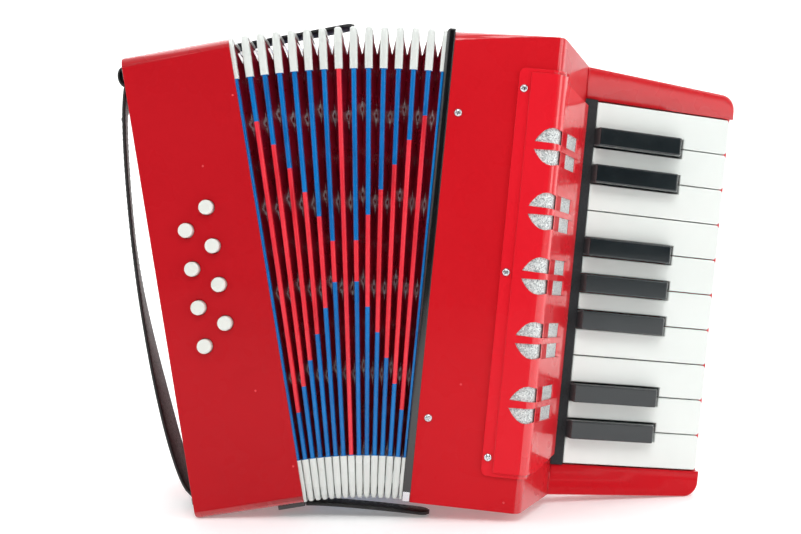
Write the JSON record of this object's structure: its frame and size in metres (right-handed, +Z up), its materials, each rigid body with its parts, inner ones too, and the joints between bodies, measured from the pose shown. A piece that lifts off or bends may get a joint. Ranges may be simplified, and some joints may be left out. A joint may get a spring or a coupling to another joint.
{
  "type": "piano accordion",
  "caption": "Small piano accordion with piano keys on one side, bass buttons on the other and fanned bellows between two red boxes.",
  "frame": {"origin": "Middle of the bounding box on the floor. The instrument stands on the bass box's outer lower edge and on the keyboard's lower corner.", "axes": "+X from the bass box to the keyboard, +Y from the front to the player, +Z up"},
  "size_m": [0.3218, 0.1272, 0.2483],
  "materials": {
    "red_shell": "gloss lacquer",
    "red_plate": "gloss lacquer",
    "red_panel": "gloss",
    "black_board": "satin",
    "black_frame": "gloss",
    "black_strip": "felt",
    "black_key": "gloss",
    "white_key": "gloss",
    "wood": "bare",
    "steel": "drawn",
    "chrome": "polished",
    "silver_mesh": "speckled",
    "brass": "polished",
    "bellows": "glossy card with taped edges",
    "strap": "grained"
  },
  "bodies": {
    "treble": {"treble_casing": "red_shell", "treble_back_cover": "black_board", "treble_bellows_frame": "black_frame", "treble_soundboard": "wood", "treble_reed_block": "wood", "keybed": "red_shell", "key_rod": "steel", "key_strip": "black_strip", "register_panel": "red_panel", "grille_mesh": "silver_mesh", "treble_screws": "chrome", "strap_brackets": "chrome", "snap_studs": "brass"},
    "bass": {"bass_casing": "red_shell", "bass_end_plate": "red_plate", "bass_bellows_frame": "black_frame", "bass_button_plate": "wood", "bass_reed_block": "wood", "hand_strap": "strap", "strap_lugs": "black_frame", "closing_strap_top": "strap"},
    "bottom_strap": {"closing_strap_bottom": "strap"},
    "key_1_lever": {"key_1": "white_key"},
    "key_2_lever": {"key_2": "black_key"},
    "key_3_lever": {"key_3": "white_key"},
    "key_4_lever": {"key_4": "black_key"},
    "key_5_lever": {"key_5": "white_key"},
    "key_6_lever": {"key_6": "white_key"},
    "key_7_lever": {"key_7": "black_key"},
    "key_8_lever": {"key_8": "white_key"},
    "key_9_lever": {"key_9": "black_key"},
    "key_10_lever": {"key_10": "white_key"},
    "key_11_lever": {"key_11": "black_key"},
    "key_12_lever": {"key_12": "white_key"},
    "key_13_lever": {"key_13": "white_key"},
    "key_14_lever": {"key_14": "black_key"},
    "key_15_lever": {"key_15": "white_key"},
    "key_16_lever": {"key_16": "black_key"},
    "key_17_lever": {"key_17": "white_key"},
    "pleat_1_ring": {"pleat_1": "bellows"},
    "pleat_2_ring": {"pleat_2": "bellows"},
    "pleat_3_ring": {"pleat_3": "bellows"},
    "pleat_4_ring": {"pleat_4": "bellows"},
    "pleat_5_ring": {"pleat_5": "bellows"},
    "pleat_6_ring": {"pleat_6": "bellows"},
    "pleat_7_ring": {"pleat_7": "bellows"},
    "pleat_8_ring": {"pleat_8": "bellows"},
    "pleat_9_ring": {"pleat_9": "bellows"},
    "pleat_10_ring": {"pleat_10": "bellows"},
    "pleat_11_ring": {"pleat_11": "bellows"},
    "pleat_12_ring": {"pleat_12": "bellows"},
    "pleat_13_ring": {"pleat_13": "bellows"},
    "bass_button_1_stem": {"bass_button_1": "white_key"},
    "bass_button_2_stem": {"bass_button_2": "white_key"},
    "bass_button_3_stem": {"bass_button_3": "white_key"},
    "bass_button_4_stem": {"bass_button_4": "white_key"},
    "bass_button_5_stem": {"bass_button_5": "white_key"},
    "bass_button_6_stem": {"bass_button_6": "white_key"},
    "bass_button_7_stem": {"bass_button_7": "white_key"},
    "bass_button_8_stem": {"bass_button_8": "white_key"}
  },
  "joints": [
    {"name": "bellows_fan", "type": "hinge", "parent": "treble", "child": "bass", "pos_m": [-0.04132, -0.00343, 0.01225], "axis": [0, -1, 0], "range_deg": [-14.9, 12]},
    {"name": "pleat_1_fan", "type": "hinge", "parent": "treble", "child": "pleat_1_ring", "pos_m": [-0.01932, -0.00343, 0.0101], "axis": [0, -1, 0], "range_deg": [-1.16, 0.96]},
    {"name": "pleat_2_fan", "type": "hinge", "parent": "treble", "child": "pleat_2_ring", "pos_m": [-0.02101, -0.00343, 0.01026], "axis": [0, -1, 0], "range_deg": [-2.23, 1.81]},
    {"name": "pleat_3_fan", "type": "hinge", "parent": "treble", "child": "pleat_3_ring", "pos_m": [-0.02271, -0.00343, 0.01043], "axis": [0, -1, 0], "range_deg": [-3.29, 2.67]},
    {"name": "pleat_4_fan", "type": "hinge", "parent": "treble", "child": "pleat_4_ring", "pos_m": [-0.0244, -0.00343, 0.01059], "axis": [0, -1, 0], "range_deg": [-4.36, 3.53]},
    {"name": "pleat_5_fan", "type": "hinge", "parent": "treble", "child": "pleat_5_ring", "pos_m": [-0.02609, -0.00343, 0.01076], "axis": [0, -1, 0], "range_deg": [-5.42, 4.39]},
    {"name": "pleat_6_fan", "type": "hinge", "parent": "treble", "child": "pleat_6_ring", "pos_m": [-0.02778, -0.00343, 0.01092], "axis": [0, -1, 0], "range_deg": [-6.49, 5.24]},
    {"name": "pleat_7_fan", "type": "hinge", "parent": "treble", "child": "pleat_7_ring", "pos_m": [-0.02947, -0.00343, 0.01109], "axis": [0, -1, 0], "range_deg": [-7.55, 6.1]},
    {"name": "pleat_8_fan", "type": "hinge", "parent": "treble", "child": "pleat_8_ring", "pos_m": [-0.03117, -0.00343, 0.01126], "axis": [0, -1, 0], "range_deg": [-8.61, 6.96]},
    {"name": "pleat_9_fan", "type": "hinge", "parent": "treble", "child": "pleat_9_ring", "pos_m": [-0.03286, -0.00343, 0.01142], "axis": [0, -1, 0], "range_deg": [-9.68, 7.81]},
    {"name": "pleat_10_fan", "type": "hinge", "parent": "treble", "child": "pleat_10_ring", "pos_m": [-0.03455, -0.00343, 0.01159], "axis": [0, -1, 0], "range_deg": [-10.74, 8.67]},
    {"name": "pleat_11_fan", "type": "hinge", "parent": "treble", "child": "pleat_11_ring", "pos_m": [-0.03624, -0.00343, 0.01175], "axis": [0, -1, 0], "range_deg": [-11.81, 9.53]},
    {"name": "pleat_12_fan", "type": "hinge", "parent": "treble", "child": "pleat_12_ring", "pos_m": [-0.03793, -0.00343, 0.01192], "axis": [0, -1, 0], "range_deg": [-12.87, 10.39]},
    {"name": "pleat_13_fan", "type": "hinge", "parent": "treble", "child": "pleat_13_ring", "pos_m": [-0.03963, -0.00343, 0.01209], "axis": [0, -1, 0], "range_deg": [-13.94, 11.24]},
    {"name": "bottom_strap_swing", "type": "hinge", "parent": "bass", "child": "bottom_strap", "pos_m": [-0.06455, -0.03743, 0.00683], "axis": [0, 1, 0], "range_deg": [-12.02, 9.7]},
    {"name": "key_1_press", "type": "hinge", "parent": "treble", "child": "key_1_lever", "pos_m": [0.0593, -0.02119, 0.11794], "axis": [0.0976, 0, 0.9952], "range_deg": [0, 2.5], "stiffness_Nm_per_rad": 1, "springref_deg": -2.86},
    {"name": "key_2_press", "type": "hinge", "parent": "treble", "child": "key_2_lever", "pos_m": [0.0593, -0.02119, 0.11794], "axis": [0.0976, 0, 0.9952], "range_deg": [0, 2.5], "stiffness_Nm_per_rad": 1, "springref_deg": -2.86},
    {"name": "key_3_press", "type": "hinge", "parent": "treble", "child": "key_3_lever", "pos_m": [0.0593, -0.02119, 0.11794], "axis": [0.0976, 0, 0.9952], "range_deg": [0, 2.5], "stiffness_Nm_per_rad": 1, "springref_deg": -2.86},
    {"name": "key_4_press", "type": "hinge", "parent": "treble", "child": "key_4_lever", "pos_m": [0.0593, -0.02119, 0.11794], "axis": [0.0976, 0, 0.9952], "range_deg": [0, 2.5], "stiffness_Nm_per_rad": 1, "springref_deg": -2.86},
    {"name": "key_5_press", "type": "hinge", "parent": "treble", "child": "key_5_lever", "pos_m": [0.0593, -0.02119, 0.11794], "axis": [0.0976, 0, 0.9952], "range_deg": [0, 2.5], "stiffness_Nm_per_rad": 1, "springref_deg": -2.86},
    {"name": "key_6_press", "type": "hinge", "parent": "treble", "child": "key_6_lever", "pos_m": [0.0593, -0.02119, 0.11794], "axis": [0.0976, 0, 0.9952], "range_deg": [0, 2.5], "stiffness_Nm_per_rad": 1, "springref_deg": -2.86},
    {"name": "key_7_press", "type": "hinge", "parent": "treble", "child": "key_7_lever", "pos_m": [0.0593, -0.02119, 0.11794], "axis": [0.0976, 0, 0.9952], "range_deg": [0, 2.5], "stiffness_Nm_per_rad": 1, "springref_deg": -2.86},
    {"name": "key_8_press", "type": "hinge", "parent": "treble", "child": "key_8_lever", "pos_m": [0.0593, -0.02119, 0.11794], "axis": [0.0976, 0, 0.9952], "range_deg": [0, 2.5], "stiffness_Nm_per_rad": 1, "springref_deg": -2.86},
    {"name": "key_9_press", "type": "hinge", "parent": "treble", "child": "key_9_lever", "pos_m": [0.0593, -0.02119, 0.11794], "axis": [0.0976, 0, 0.9952], "range_deg": [0, 2.5], "stiffness_Nm_per_rad": 1, "springref_deg": -2.86},
    {"name": "key_10_press", "type": "hinge", "parent": "treble", "child": "key_10_lever", "pos_m": [0.0593, -0.02119, 0.11794], "axis": [0.0976, 0, 0.9952], "range_deg": [0, 2.5], "stiffness_Nm_per_rad": 1, "springref_deg": -2.86},
    {"name": "key_11_press", "type": "hinge", "parent": "treble", "child": "key_11_lever", "pos_m": [0.0593, -0.02119, 0.11794], "axis": [0.0976, 0, 0.9952], "range_deg": [0, 2.5], "stiffness_Nm_per_rad": 1, "springref_deg": -2.86},
    {"name": "key_12_press", "type": "hinge", "parent": "treble", "child": "key_12_lever", "pos_m": [0.0593, -0.02119, 0.11794], "axis": [0.0976, 0, 0.9952], "range_deg": [0, 2.5], "stiffness_Nm_per_rad": 1, "springref_deg": -2.86},
    {"name": "key_13_press", "type": "hinge", "parent": "treble", "child": "key_13_lever", "pos_m": [0.0593, -0.02119, 0.11794], "axis": [0.0976, 0, 0.9952], "range_deg": [0, 2.5], "stiffness_Nm_per_rad": 1, "springref_deg": -2.86},
    {"name": "key_14_press", "type": "hinge", "parent": "treble", "child": "key_14_lever", "pos_m": [0.0593, -0.02119, 0.11794], "axis": [0.0976, 0, 0.9952], "range_deg": [0, 2.5], "stiffness_Nm_per_rad": 1, "springref_deg": -2.86},
    {"name": "key_15_press", "type": "hinge", "parent": "treble", "child": "key_15_lever", "pos_m": [0.0593, -0.02119, 0.11794], "axis": [0.0976, 0, 0.9952], "range_deg": [0, 2.5], "stiffness_Nm_per_rad": 1, "springref_deg": -2.86},
    {"name": "key_16_press", "type": "hinge", "parent": "treble", "child": "key_16_lever", "pos_m": [0.0593, -0.02119, 0.11794], "axis": [0.0976, 0, 0.9952], "range_deg": [0, 2.5], "stiffness_Nm_per_rad": 1, "springref_deg": -2.86},
    {"name": "key_17_press", "type": "hinge", "parent": "treble", "child": "key_17_lever", "pos_m": [0.0593, -0.02119, 0.11794], "axis": [0.0976, 0, 0.9952], "range_deg": [0, 2.5], "stiffness_Nm_per_rad": 1, "springref_deg": -2.86},
    {"name": "bass_button_1_press", "type": "slide", "parent": "bass", "child": "bass_button_1_stem", "axis": [0.042, 0.9991, 0.0069], "range_m": [0, 0.0028], "stiffness_N_per_m": 150, "springref_m": -0.003},
    {"name": "bass_button_2_press", "type": "slide", "parent": "bass", "child": "bass_button_2_stem", "axis": [0.042, 0.9991, 0.0069], "range_m": [0, 0.0028], "stiffness_N_per_m": 150, "springref_m": -0.003},
    {"name": "bass_button_3_press", "type": "slide", "parent": "bass", "child": "bass_button_3_stem", "axis": [0.042, 0.9991, 0.0069], "range_m": [0, 0.0028], "stiffness_N_per_m": 150, "springref_m": -0.003},
    {"name": "bass_button_4_press", "type": "slide", "parent": "bass", "child": "bass_button_4_stem", "axis": [0.042, 0.9991, 0.0069], "range_m": [0, 0.0028], "stiffness_N_per_m": 150, "springref_m": -0.003},
    {"name": "bass_button_5_press", "type": "slide", "parent": "bass", "child": "bass_button_5_stem", "axis": [0.042, 0.9991, 0.0069], "range_m": [0, 0.0028], "stiffness_N_per_m": 150, "springref_m": -0.003},
    {"name": "bass_button_6_press", "type": "slide", "parent": "bass", "child": "bass_button_6_stem", "axis": [0.042, 0.9991, 0.0069], "range_m": [0, 0.0028], "stiffness_N_per_m": 150, "springref_m": -0.003},
    {"name": "bass_button_7_press", "type": "slide", "parent": "bass", "child": "bass_button_7_stem", "axis": [0.042, 0.9991, 0.0069], "range_m": [0, 0.0028], "stiffness_N_per_m": 150, "springref_m": -0.003},
    {"name": "bass_button_8_press", "type": "slide", "parent": "bass", "child": "bass_button_8_stem", "axis": [0.042, 0.9991, 0.0069], "range_m": [0, 0.0028], "stiffness_N_per_m": 150, "springref_m": -0.003}
  ],
  "couplings": [
    {"joint": "pleat_1_fan", "follows": "bellows_fan", "ratio": 0.071429},
    {"joint": "pleat_2_fan", "follows": "bellows_fan", "ratio": 0.14286},
    {"joint": "pleat_3_fan", "follows": "bellows_fan", "ratio": 0.21429},
    {"joint": "pleat_4_fan", "follows": "bellows_fan", "ratio": 0.28571},
    {"joint": "pleat_5_fan", "follows": "bellows_fan", "ratio": 0.35714},
    {"joint": "pleat_6_fan", "follows": "bellows_fan", "ratio": 0.42857},
    {"joint": "pleat_7_fan", "follows": "bellows_fan", "ratio": 0.5},
    {"joint": "pleat_8_fan", "follows": "bellows_fan", "ratio": 0.57143},
    {"joint": "pleat_9_fan", "follows": "bellows_fan", "ratio": 0.64286},
    {"joint": "pleat_10_fan", "follows": "bellows_fan", "ratio": 0.71429},
    {"joint": "pleat_11_fan", "follows": "bellows_fan", "ratio": 0.78571},
    {"joint": "pleat_12_fan", "follows": "bellows_fan", "ratio": 0.85714},
    {"joint": "pleat_13_fan", "follows": "bellows_fan", "ratio": 0.92857},
    {"joint": "bottom_strap_swing", "follows": "bellows_fan", "ratio": 0.8}
  ]
}
